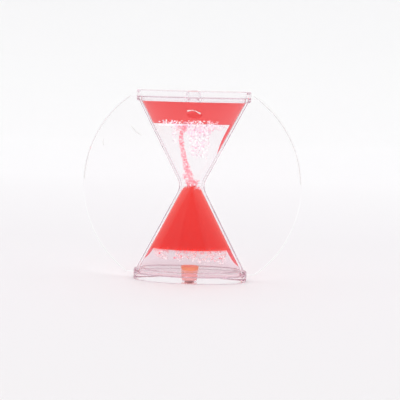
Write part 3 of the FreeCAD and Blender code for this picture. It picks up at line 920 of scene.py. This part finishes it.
def fill(name, low, high, inset, room=None):
    """A body of liquid between two heights, at an inset from the outside of the moulding."""
    piece = lathe(name, rings_between(low, high, inset))
    if room is not None:
        combine(piece, room, "DIFFERENCE")
    return smooth(piece)


def make_clear_liquids():
    """The clear liquid wets the whole wall in both chambers, also round the red liquid."""
    inset = WALL - LIQUID_BITE
    upper = fill("clear_upper", NECK, CEILING + LIQUID_BITE, inset)
    place(upper, CLEAR_UPPER, replaced=["clear_liquid_upper"])
    room = tapered_hole("plug_room", (FLOOR - OVERRUN, PLUG_HIGH - FACE_BITE))
    lower = fill("clear_lower", FLOOR - LIQUID_BITE, NECK + FACE_BITE, inset, room)
    place(lower, CLEAR_LOWER, replaced=["clear_liquid_lower"])


def red_ratio(height):
    """How much of the chamber's width the red cone fills: all of it low down, nothing at its tip."""
    share = (height - RED_DOME_LOW) / (RED_TIP - RED_DOME_LOW)
    return math.sqrt(1 - min(max(share, 0.0), 1.0) ** RED_DOME_POWER)


def make_red_liquids():
    """The red layer on top, the red cone with its rounded tip in the waist, and the haze under the cone."""
    inset = WALL + RED_FILM
    upper = fill("red_upper", UPPER_FACE, CEILING - FACE_BITE, inset)
    place(upper, RED_UPPER, replaced=["red_liquid_upper"])
    rings = rings_between(LOWER_FACE, RED_DOME_LOW, inset)
    for step in range(1, DOME_STEPS):
        height = RED_DOME_LOW + (RED_TIP - RED_DOME_LOW) * math.sin(math.pi / 2 * step / DOME_STEPS)
        width, depth, _ = ring_at(height, inset)
        rings.append((width * red_ratio(height), depth * red_ratio(height), height))
    lower = smooth(lathe("red_lower", rings))
    place(lower, RED_LOWER, replaced=["red_liquid_lower"])
    # The cone's lower face and the tops of both layers lie at heights of their own, so that none meet.
    for name, depth, bite, haze in (
        ("haze_near", HAZE_NEAR_DEPTH, 3 * FACE_BITE, HAZE_NEAR),
        ("haze_far", HAZE_FAR_DEPTH, 2 * FACE_BITE, HAZE_FAR),
    ):
        layer = fill(name, LOWER_FACE - depth, LOWER_FACE + bite, inset + depth * HAZE_TAPER)
        place(layer, haze)


def make_streak(name, level, drop, width, side):
    """A wedge of red against a side wall under a level face, flat on its inner side."""
    inset = WALL + RED_FILM
    mesh = bmesh.new()
    loops = []
    for row in range(STREAK_ROWS + 1):
        share = row / STREAK_ROWS
        height = level + FACE_BITE - drop * share
        half_width, half_depth, _ = ring_at(height, inset)
        thickness = width * (1 - share**STREAK_POWER) + FACE_BITE
        reach = math.acos(1 - thickness / half_width)
        loop = []
        for column in range(STREAK_COLUMNS + 1):
            turn = reach * (2 * column / STREAK_COLUMNS - 1)
            across = side * half_width * math.cos(turn)
            loop.append(mesh.verts.new((across, half_depth * math.sin(turn), height)))
        loops.append(loop)
    join_loops(mesh, loops)
    place(smooth(finish_mesh(name, mesh)), RED_STREAK)


# Drops and froth.


def front_at(across, height):
    """How far in front the chamber's wall stands."""
    width = half_size(height, FUNNEL_HALF_WIDTH, WALL)
    depth = half_size(height, FUNNEL_HALF_DEPTH, WALL)
    return -depth * math.sqrt(1 - (across / width) ** 2)


def inside_chamber(point, radius):
    """Whether a drop keeps clear of the wall."""
    width = half_size(point.z, FUNNEL_HALF_WIDTH, WALL) - radius - DROP_WALL_GAP
    depth = half_size(point.z, FUNNEL_HALF_DEPTH, WALL) - radius - DROP_WALL_GAP
    return (point.x / width) ** 2 + (point.y / depth) ** 2 < 1


def stream_place(share):
    """The stream's middle at a share of its rise: nearly upright at both ends, leaning between."""
    ease = min(max((share + STREAM_LEAN_START) / STREAM_LEAN_SPAN, 0.0), 1.0)
    across = STREAM_FOOT.lerp(STREAM_HEAD, ease * ease * (3 - 2 * ease))
    return Vector((across.x, 0.0, STREAM_FOOT.lerp(STREAM_HEAD, share).z))


def stream_radius(share):
    """The stream's radius at a share of its rise: wide over the drip insert."""
    flare = max(0.0, 1 - share / STREAM_FLARE)
    wobble = STREAM_WOBBLE * math.sin(share * STREAM_WOBBLE_RADIANS)
    return STREAM_RADIUS + (STREAM_FOOT_RADIUS - STREAM_RADIUS) * flare**2 + wobble


def stream_distance(point):
    """How far a point lies outside the stream, at rest or up to a drop step higher."""
    rise = STREAM_HEAD.z - STREAM_FOOT.z
    nearest = HEIGHT
    for lift in (0.0, 0.5 / STREAM_STEPS, 1 / STREAM_STEPS):
        share = (point.z - STREAM_FOOT.z) / rise - lift
        if -STREAM_SLACK < share < 1 + STREAM_SLACK - 1 / STREAM_STEPS:
            middle = stream_place(share)
            middle.x += (STREAM_HEAD.x - STREAM_FOOT.x) * lift
            away = Vector((point.x - middle.x, point.y, 0)).length - stream_radius(share)
            nearest = min(nearest, away)
    return nearest


def drop_radius(draw, small, large):
    """A drop size: mostly small, now and then large."""
    return small + (large - small) * draw.random() ** 2


def level_step(draw, reach):
    """A level step of a given length, in any direction."""
    turn = draw.random() * 2 * math.pi
    return Vector((reach * math.cos(turn), reach * math.sin(turn), 0))


def make_drops(name, drops, material, body="timer", replaced=()):
    """One piece of many small round drops."""
    fine = bmesh.new()
    bmesh.ops.create_icosphere(fine, subdivisions=2, radius=1)
    coarse = bmesh.new()
    bmesh.ops.create_icosphere(coarse, subdivisions=1, radius=1)
    points, faces = [], []
    for centre, radius in drops:
        template = fine if radius > FINE_DROP else coarse
        start = len(points)
        points += [centre + vert.co * radius for vert in template.verts]
        faces += [[start + vert.index for vert in face.verts] for face in template.faces]
    fine.free()
    coarse.free()
    data = bpy.data.meshes.new(name)
    data.from_pydata(points, [], faces)
    piece = bpy.data.objects.new(name, data)
    bpy.context.scene.collection.objects.link(piece)
    data.shade_smooth()
    return place(piece, material, body, replaced)


def make_painted_glint():
    """Painted highlight at the front of the upper red layer: a wavy line of white drops stands in for a
    glint, over a darker red oval.
    """
    draw = random.Random(GLINT_SEED)
    drops = []
    for step in range(GLINT_STEPS + 1):
        share = step / GLINT_STEPS
        across = GLINT_LEFT + (GLINT_RIGHT - GLINT_LEFT) * share
        bow = GLINT_BOW * math.sin(math.pi * share) - GLINT_FALL * share**2
        ripple = GLINT_RIPPLE * math.sin(GLINT_RIPPLE_RADIANS * share)
        height = GLINT_HEIGHT + (bow + ripple)
        thickness = GLINT_THIN + GLINT_ENDS * abs(2 * share - 1) ** GLINT_END_POWER
        radius = thickness + GLINT_UNEVEN * draw.random()
        drops.append((Vector((across, front_at(across, height) - GLINT_BURY, height)), radius))
    make_drops("glint", drops, GLINT)
    mesh = bmesh.new()
    bmesh.ops.create_uvsphere(mesh, u_segments=RED_DROP_SEGMENTS, v_segments=RED_DROP_RINGS, radius=1)
    half_width, half_depth, half_height = RED_DROP_HALF_SIZES
    sway, sway_radians, sway_start = RED_DROP_SWAY
    swell, swell_radians = RED_DROP_SWELL
    for vert in mesh.verts:
        x, y, z = vert.co
        wave = 1 + sway * math.sin(sway_radians * x + sway_start) + swell * math.sin(swell_radians * z)
        vert.co = (x * half_width * wave, y * half_depth, z * half_height * wave)
    height = GLINT_HEIGHT - RED_DROP_BELOW
    across = (GLINT_LEFT + GLINT_RIGHT) / 2 + RED_DROP_RIGHT
    behind = front_at(across, height) + RED_DROP_INSIDE
    bmesh.ops.translate(mesh, vec=(across, behind, height), verts=mesh.verts)
    place(smooth(finish_mesh("red_drop", mesh)), RED_DENSE)


def make_stream():
    """The rising stream between the drip insert and the upper red layer."""
    draw = random.Random(STREAM_SEED)
    rise = STREAM_HEAD.z - STREAM_FOOT.z
    lowest = STREAM_END_GAP / rise
    highest = 1 - 1 / STREAM_STEPS - lowest
    drops = []
    for _ in range(STREAM_DROPS):
        share = lowest + (highest - lowest) * draw.random() ** STREAM_CROWD
        radius = drop_radius(draw, *STREAM_RADII)
        spread = max(stream_radius(share) - radius, 0.0) * draw.random() ** STREAM_SPREAD
        centre = stream_place(share) + level_step(draw, spread)
        limit = STREAM_FOOT_DROP + STREAM_FOOT_GROWTH * (share - lowest) * rise
        drops.append((centre, min(radius, limit)))
    make_drops("stream", drops, STREAM_SKIN, "rising_drops", ["rising_drops"])


def make_neck_drops():
    """Drops that stand in the drip insert's hole and on the shoulder of the red cone's tip."""
    draw = random.Random(NECK_SEED)
    drops = []
    for _ in range(NECK_DROPS):
        height = MIDDLE + NECK_END_GAP + draw.random() * (INSERT_TOP - MIDDLE - 2 * NECK_END_GAP)
        radius = drop_radius(draw, *NECK_RADII)
        share = max(0.0, (height - MIDDLE - INSERT_LAND) / (INSERT_TOP - MIDDLE - INSERT_LAND))
        widest = INSERT_BORE_RADIUS + (INSERT_MOUTH_RADIUS - INSERT_BORE_RADIUS) * share
        spread = (widest - radius) * math.sqrt(draw.random())
        drops.append((Vector((0, 0, height)) + level_step(draw, spread), radius))
    while len(drops) < NECK_DROPS + SHOULDER_DROPS:
        height = MIDDLE - SHOULDER_START - SHOULDER_DEPTH * draw.random() ** SHOULDER_CROWD
        radius = drop_radius(draw, *SHOULDER_RADII)
        width, depth, _ = ring_at(height, WALL + RED_FILM)
        ratio = red_ratio(height) + draw.random() ** 2 * SHOULDER_SPREAD
        turn = SHOULDER_TURN * (draw.random() * 2 - 1)
        turn += math.pi if draw.random() < SHOULDER_LEFT_SHARE else 0
        point = Vector((width * ratio * math.cos(turn), depth * ratio * math.sin(turn), height))
        if inside_chamber(point, radius):
            drops.append((point, radius))
    make_drops("neck_drops", drops, STREAM_SKIN)


def make_head_drops():
    """Drops round the stream's upper end, where it meets the red layer."""
    draw = random.Random(HEAD_SEED)
    drops = []
    while len(drops) < HEAD_DROPS:
        share = 1 - HEAD_SPAN * draw.random() / STREAM_STEPS
        radius = drop_radius(draw, *HEAD_RADII)
        reach = stream_radius(1.0) + radius + HEAD_GAP + HEAD_SPREAD * draw.random()
        point = stream_place(share) + level_step(draw, reach)
        if stream_distance(point) > radius + HEAD_GAP:
            drops.append((point, radius))
    make_drops("head_drops", drops, STREAM_SKIN)


def make_upper_froth():
    """The cloud of fine drops under the upper red layer, and the ragged face between the liquids."""
    draw = random.Random(UPPER_SEED)
    front, back = [], []
    for count, crowd, sizes in UPPER_PATCHES:
        left, right, deep, lean, small, large = (size * MM for size in sizes)
        placed = 0
        while placed < count:
            hang = 1 - (1 - draw.random()) ** crowd
            half = (right - left) / 2
            x = left + half + half * (1 - UPPER_NARROWING * hang) * (2 * draw.random() - 1) + lean * hang
            y = (draw.random() * 2 - 1) * UPPER_HALF_DEPTH
            drops = front if y < -UPPER_FRONT_SHARE * UPPER_HALF_DEPTH else back
            point = Vector((x, y, UPPER_FACE - UPPER_START - hang * deep))
            radius = drop_radius(draw, small, large)
            clear = stream_distance(point) > radius + STREAM_GAP
            if clear and inside_chamber(point, radius):
                drops.append((point, radius))
                placed += 1
    for _ in range(RAGGED_DROPS):
        across = RAGGED_LEFT + RAGGED_WIDTH * draw.random() ** RAGGED_CROWD
        height = UPPER_FACE + (draw.random() ** RAGGED_THIN * RAGGED_HEIGHT - RAGGED_BELOW)
        side = -1 if draw.random() < RAGGED_BACK_SHARE else 1
        radius = drop_radius(draw, *RAGGED_RADII)
        front.append((Vector((across, side * front_at(across, height) * RAGGED_REACH, height)), radius))
    make_drops("froth_upper", front, UPPER_SKIN, replaced=["upper_froth"])
    make_drops("froth_upper_back", back, BACK_SKIN)


def make_lower_froth():
    """Specks and drops under the lower red body, in three patches."""
    draw = random.Random(LOWER_SEED)
    drops = []
    for left, right, count, deep in LOWER_PATCHES:
        placed = 0
        while placed < count:
            hang = draw.random() ** LOWER_CROWD
            radius = drop_radius(draw, *LOWER_RADII)
            across = (left + (right - left) * draw.random()) * MM
            along = (draw.random() * 2 - 1) * LOWER_HALF_DEPTH
            point = Vector((across, along, LOWER_FACE - radius - LOWER_START - hang * deep * MM))
            if inside_chamber(point, radius):
                drops.append((point, radius))
                placed += 1
    make_drops("froth_lower", drops, LOWER_SKIN, replaced=["lower_froth"])


# Stage, light and camera.


def make_stage():
    """A pale floor that sweeps up into the backdrop, with painted shade: darker on the floor in front,
    brightest where the floor meets the bend, a little darker up the bend.
    """
    profile = [(y, 0.0) for y in (*SWEEP_FLAT, SWEEP_BACK - SWEEP_BEND)]
    for step in range(1, SWEEP_BEND_STEPS + 1):
        turn = math.pi / 2 * step / SWEEP_BEND_STEPS
        behind = SWEEP_BACK - SWEEP_BEND + SWEEP_BEND * math.sin(turn)
        profile.append((behind, SWEEP_BEND * (1 - math.cos(turn))))
    profile.append((SWEEP_BACK, SWEEP_TOP))
    mesh = bmesh.new()
    rows = []
    for y, z in profile:
        rows.append([mesh.verts.new((x, y, z - FLOOR_GAP)) for x in (-SWEEP_HALF_WIDTH, SWEEP_HALF_WIDTH)])
    for lower, upper in zip(rows, rows[1:]):
        mesh.faces.new((lower[0], lower[1], upper[1], upper[0]))
    sweep = finish_mesh("sweep", mesh)
    sweep.data.shade_smooth()
    material, shader, nodes, links = new_material("pale_sweep")
    share = add_range(nodes, links, split_axes(nodes, links)["Y"], SWEEP_SPAN)
    links.new(add_ramp(nodes, links, share, SWEEP_PAINTED_SHADE), shader.inputs["Base Color"])
    shader.inputs["Roughness"].default_value = SWEEP_ROUGHNESS
    shader.inputs["Specular IOR Level"].default_value = SWEEP_GLOSS
    sweep.data.materials.append(material)


def make_world():
    """A pale surround, dimmer behind the camera so that clear edges show."""
    world = bpy.data.worlds.new("surround")
    bpy.context.scene.world = world
    world.use_nodes = True
    nodes, links = world.node_tree.nodes, world.node_tree.links
    background = nodes["Background"]
    forwards = split_axes(nodes, links, "Generated")["Y"]
    links.new(add_range(nodes, links, forwards, WORLD_SPAN, WORLD_LEVELS), background.inputs["Color"])
    background.inputs["Strength"].default_value = WORLD_STRENGTH


def make_lamps():
    """Soft square lamps that point at the timer's middle."""
    for name, spot, power in LAMPS:
        lamp = bpy.data.lights.new(name, "AREA")
        lamp.size = LAMP_SIZE
        lamp.energy = power
        holder = bpy.data.objects.new(name, lamp)
        holder.location = spot
        holder.rotation_euler = (Vector((0, 0, MIDDLE)) - Vector(spot)).to_track_quat("-Z", "Y").to_euler()
        bpy.context.scene.collection.objects.link(holder)


def make_camera():
    """The camera at the photograph's viewing angle."""
    data = bpy.data.cameras.new("camera")
    data.lens = LENS
    data.sensor_width = SENSOR_WIDTH
    camera = bpy.data.objects.new("camera", data)
    bpy.context.scene.collection.objects.link(camera)
    camera.location = (
        CAMERA_DISTANCE * math.sin(CAMERA_YAW),
        -CAMERA_DISTANCE * math.cos(CAMERA_YAW),
        CAMERA_HEIGHT,
    )
    look = (CAMERA_AIM - camera.location).to_track_quat("-Z", "Y")
    camera.rotation_mode = "QUATERNION"
    camera.rotation_quaternion = look @ Matrix.Rotation(CAMERA_ROLL, 4, "Z").to_quaternion()
    bpy.context.scene.camera = camera


bpy.context.scene.view_settings.view_transform = "Standard"
bpy.context.scene.cycles.max_bounces = LIGHT_BOUNCES
bpy.context.scene.cycles.glossy_bounces = LIGHT_BOUNCES
bpy.context.scene.cycles.transmission_bounces = LIGHT_BOUNCES
bpy.context.scene.cycles.diffuse_bounces = DROP_BOUNCES
bpy.context.scene.cycles.blur_glossy = 0.0  # the default greys the froth
make_camera()
make_stage()
make_world()
make_lamps()

make_body()
make_cap("cap_bottom", "bottom_cap", False)
make_cap("cap_top", "top_cap", True)
make_bond("bond_bottom", False)
make_bond("bond_top", True)
make_plugs()
make_insert()

make_clear_liquids()
make_red_liquids()
for streak in STREAKS:
    make_streak(*streak)

# Painted highlight: a glint made of white drops, with a darker red oval under it.
make_painted_glint()
# Painted shade: grey lines along the web's upper rim.
make_mark("mark_rim_right", rim_points(*RIM_SHADE_RIGHT))
make_mark("mark_rim_left", rim_points(*RIM_SHADE_LEFT))
make_mark("mark_long", MARK_LONG)
make_mark("mark_short", MARK_SHORT)
make_stream()
make_neck_drops()
make_head_drops()
make_upper_froth()
make_lower_froth()

# The clear pieces cast no shadow and the reds take no matt light, or the froth and the plug come out grey.
for clear_piece in ("hourglass", "cap_bottom", "cap_top", "plug_top", "clear_upper", "clear_lower", "insert"):
    bpy.data.objects[clear_piece].visible_shadow = False
for red_piece in ("red_upper", "red_lower"):
    bpy.data.objects[red_piece].visible_diffuse = False
